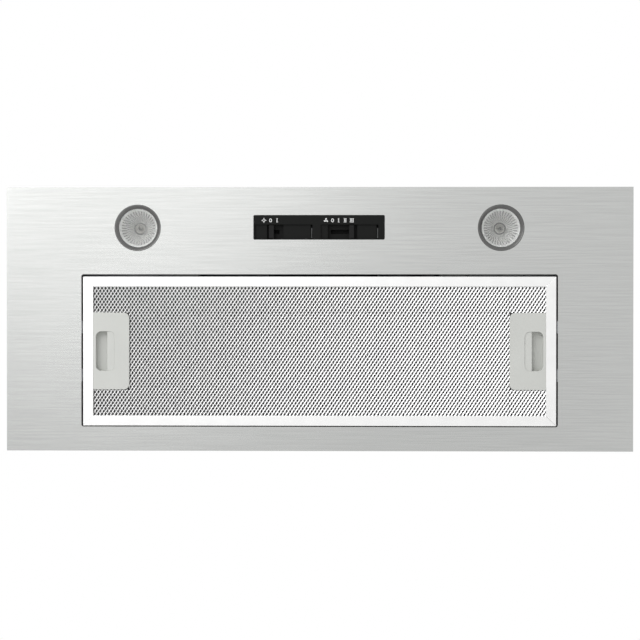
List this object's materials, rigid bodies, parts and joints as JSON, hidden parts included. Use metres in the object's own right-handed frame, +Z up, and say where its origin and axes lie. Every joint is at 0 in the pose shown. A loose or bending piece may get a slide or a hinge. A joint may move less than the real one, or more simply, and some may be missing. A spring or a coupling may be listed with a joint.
{
  "type": "range hood insert",
  "caption": "Built-in range hood insert with a brushed steel face plate, latched mesh grease filter, recessed lamps, slide controls, centrifugal blower and round duct collar.",
  "frame": {"origin": "middle of the face plate's visible lower face, which is the middle of the bounding box's bottom", "axes": "+X along the plate, to the right as seen from below with the controls at the top; +Y to the wall; +Z up into the cabinet, the way the air leaves"},
  "size_m": [0.7, 0.295, 0.253],
  "materials": {
    "brushed_stainless": "fine horizontal brushing, satin",
    "galvanised_sheet": "galvanised sheet, dull zinc spangle",
    "filter_aluminium": "bright satin aluminium",
    "spring_steel": "tempered spring steel",
    "zinc_plated": "bright zinc plating",
    "grey_plastic": "light grey moulded plastic, satin",
    "black_plastic": "black moulded plastic, fine grain",
    "casing_plastic": "dark grey moulded plastic",
    "wheel_plastic": "grey filled plastic",
    "cast_aluminium": "die-cast, slightly rough",
    "laminated_iron": "stacked laminations, varnished",
    "enamelled_copper": "enamelled copper wire, varnished",
    "sintered_bronze": "oiled sintered bronze",
    "black_rubber": "soft black rubber",
    "lamp_ring_paint": "dark grey satin paint",
    "clear_glass": "clear glass",
    "reflector_mirror": "fluted aluminised bowl",
    "quartz": "clear quartz",
    "ceramic_white": "glazed ceramic",
    "light_plastic": "light grey plastic",
    "white_plastic": "white plastic"
  },
  "bodies": {
    "housing": {"face_plate": "brushed_stainless", "chassis": "galvanised_sheet", "compartment_wall": "galvanised_sheet", "motor_box": "galvanised_sheet", "outlet_collar": "black_plastic", "damper_pins": "zinc_plated", "fan_casing_left": "casing_plastic", "fan_casing_right": "casing_plastic", "casing_screws": "zinc_plated", "motor_stator": "laminated_iron", "motor_winding": "enamelled_copper", "motor_end_cover_inner": "cast_aluminium", "motor_end_cover_outer": "cast_aluminium", "motor_bearings": "sintered_bronze", "motor_bracket": "galvanised_sheet", "motor_grommets": "black_rubber", "motor_screws": "zinc_plated", "lamp_ring_left": "lamp_ring_paint", "lamp_ring_right": "lamp_ring_paint", "lamp_glasses": "clear_glass", "lamp_reflectors": "reflector_mirror", "lamp_capsules": "quartz", "lamp_sockets": "ceramic_white", "lamp_cups": "galvanised_sheet", "control_bezel": "black_plastic", "switch_carrier": "galvanised_sheet", "light_switch": "white_plastic", "fan_switch": "white_plastic", "filter_catches": "spring_steel", "junction_box": "light_plastic", "junction_cover": "light_plastic", "cable_gland": "black_plastic", "terminal_block": "white_plastic", "capacitor": "white_plastic", "capacitor_clip": "galvanised_sheet", "lamp_transformer": "black_plastic", "weld_studs": "zinc_plated", "stud_nuts": "zinc_plated", "case_screws": "zinc_plated", "side_clamps": "spring_steel"},
    "filter": {"filter_rail_front": "filter_aluminium", "filter_rail_rear": "filter_aluminium", "filter_rail_left": "filter_aluminium", "filter_rail_right": "filter_aluminium", "filter_mesh_lower": "filter_aluminium", "filter_mesh_upper": "filter_aluminium", "filter_pad": "filter_aluminium", "latch_cover_left": "grey_plastic", "latch_cover_right": "grey_plastic", "latch_spring_left": "spring_steel", "latch_spring_right": "spring_steel"},
    "latch_left": {"latch_slider_left": "grey_plastic"},
    "latch_right": {"latch_slider_right": "grey_plastic"},
    "light_knob": {"light_slider": "black_plastic"},
    "fan_knob": {"fan_slider": "black_plastic"},
    "rotor": {"impeller": "wheel_plastic", "motor_shaft": "zinc_plated", "rotor_core": "laminated_iron"},
    "flap_left": {"damper_flap_left": "black_plastic"},
    "flap_right": {"damper_flap_right": "black_plastic"}
  },
  "joints": [
    {"name": "filter_drop", "type": "slide", "parent": "housing", "child": "filter", "axis": [0, 0, -1], "range_m": [0, 0.06], "deforming": ["filter_catches"]},
    {"name": "latch_left_pull", "type": "slide", "parent": "filter", "child": "latch_left", "axis": [1, 0, 0], "range_m": [0, 0.006], "stiffness_N_per_m": 400, "springref_m": -0.006, "deforming": ["latch_spring_left"]},
    {"name": "latch_right_pull", "type": "slide", "parent": "filter", "child": "latch_right", "axis": [-1, 0, 0], "range_m": [0, 0.006], "stiffness_N_per_m": 400, "springref_m": -0.006, "deforming": ["latch_spring_right"]},
    {"name": "light_slide", "type": "slide", "parent": "housing", "child": "light_knob", "axis": [1, 0, 0], "range_m": [0, 0.0073]},
    {"name": "fan_slide", "type": "slide", "parent": "housing", "child": "fan_knob", "axis": [1, 0, 0], "range_m": [-0.0219, 0]},
    {"name": "impeller_spin", "type": "hinge", "parent": "housing", "child": "rotor", "pos_m": [0, 0.033, 0.128], "axis": [1, 0, 0], "continuous": true},
    {"name": "flap_left_open", "type": "hinge", "parent": "housing", "child": "flap_left", "pos_m": [-0.005, -0.0145, 0.229], "axis": [0, 1, 0], "range_deg": [0, 80]},
    {"name": "flap_right_open", "type": "hinge", "parent": "housing", "child": "flap_right", "pos_m": [0.005, -0.0145, 0.229], "axis": [0, -1, 0], "range_deg": [0, 80]}
  ]
}
